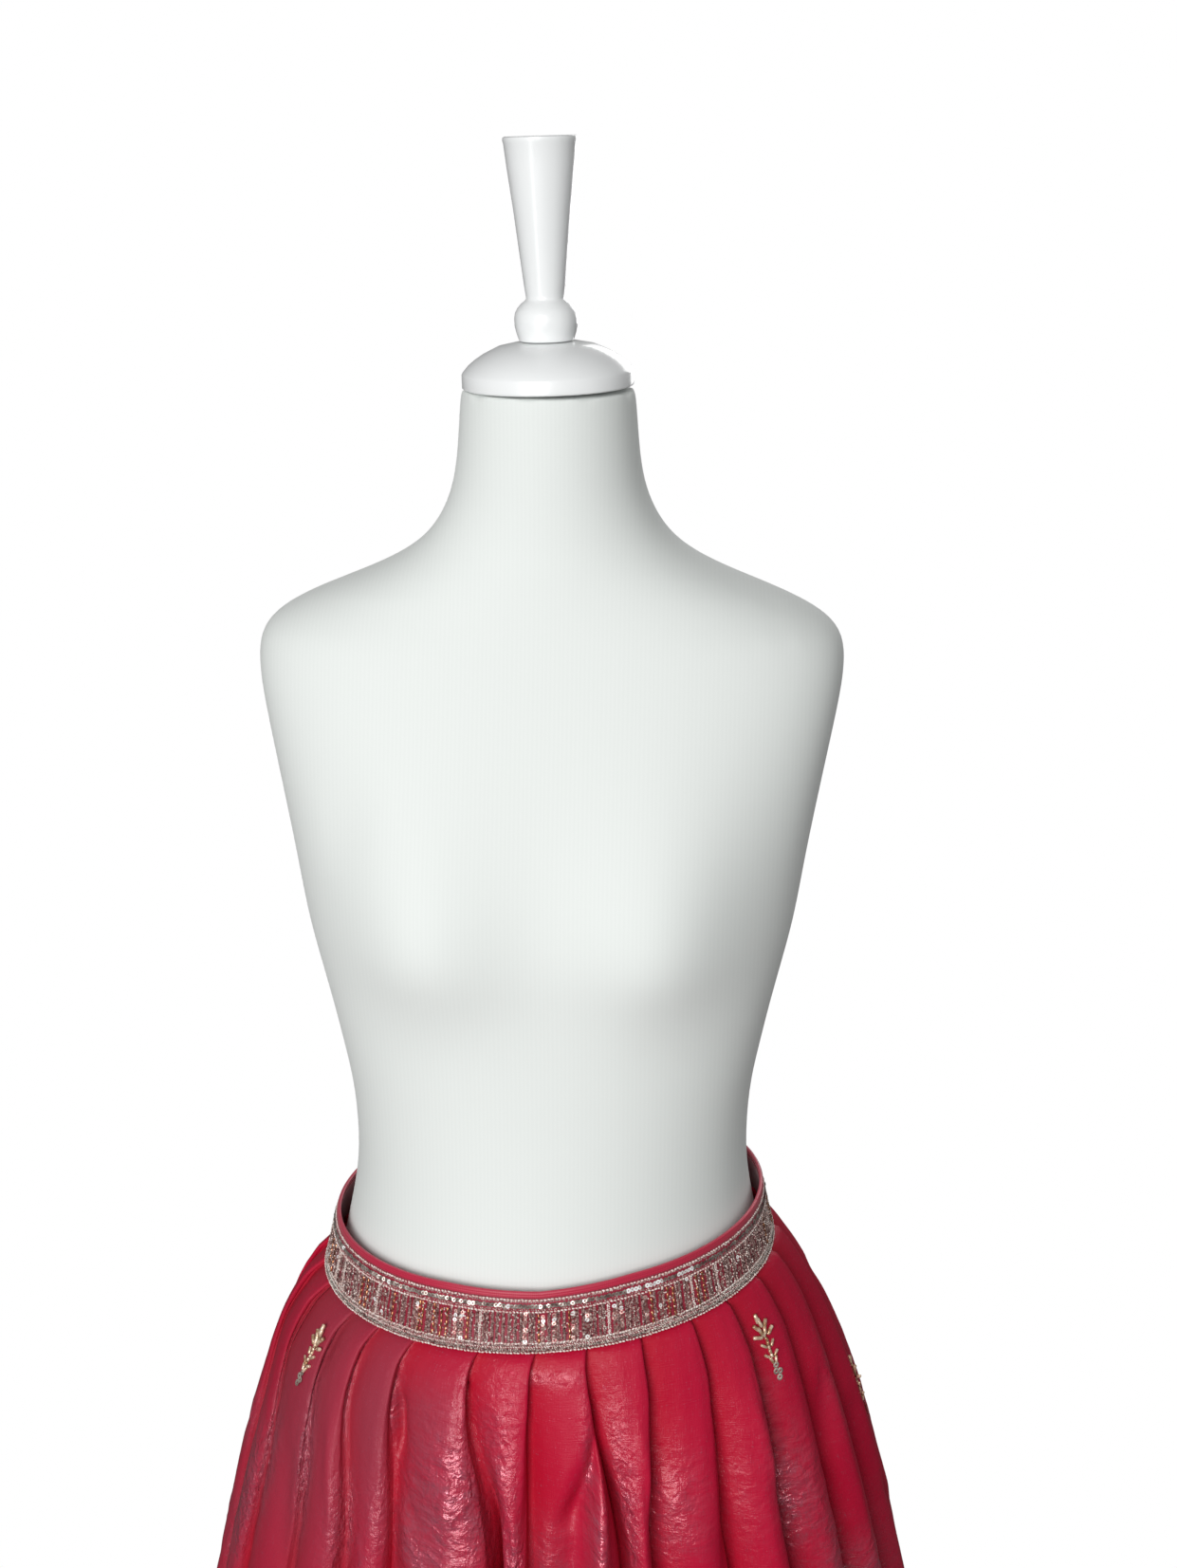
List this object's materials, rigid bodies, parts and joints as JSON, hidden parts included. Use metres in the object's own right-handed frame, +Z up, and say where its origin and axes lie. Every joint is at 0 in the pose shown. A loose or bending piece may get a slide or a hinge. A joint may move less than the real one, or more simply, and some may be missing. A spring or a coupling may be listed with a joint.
{
  "type": "lehenga skirt on a dress form",
  "caption": "Floor-length knife-pleated lehenga skirt with a beaded waistband, worn by a limbless white dress form on a pole stand with a round foot.",
  "frame": {"origin": "on the floor, at the centre of the underside of the stand's round foot, under the pole's axis", "axes": "+Z up along the pole, -Y towards the centre front of the skirt, +X towards the viewer's right when facing the front"},
  "size_m": [0.8093, 0.7388, 1.7323],
  "materials": {
    "tissue_organza": "crushed crimson tissue organza with a pale metallic weft and scattered bead sprigs",
    "zari_band": "silver-grey zari cord, sequins and rose-gold bugle beads on crimson cloth",
    "satin_facing": "folded crimson facing, soft sheen",
    "jersey": "fine off-white knit pulled smooth over the form",
    "lacquered_wood": "turned wood with white gloss paint",
    "board": "white painted board",
    "painted_steel": "white powder coat"
  },
  "bodies": {
    "root": {"skirt_front": "tissue_organza", "skirt_back_left": "tissue_organza", "skirt_back_right": "tissue_organza", "waistband": "zari_band", "waistband_piping": "satin_facing", "form_torso": "jersey", "neck_cap": "lacquered_wood", "finial": "lacquered_wood", "form_board": "board", "stand_pole": "painted_steel", "stand_foot": "painted_steel"}
  },
  "joints": []
}
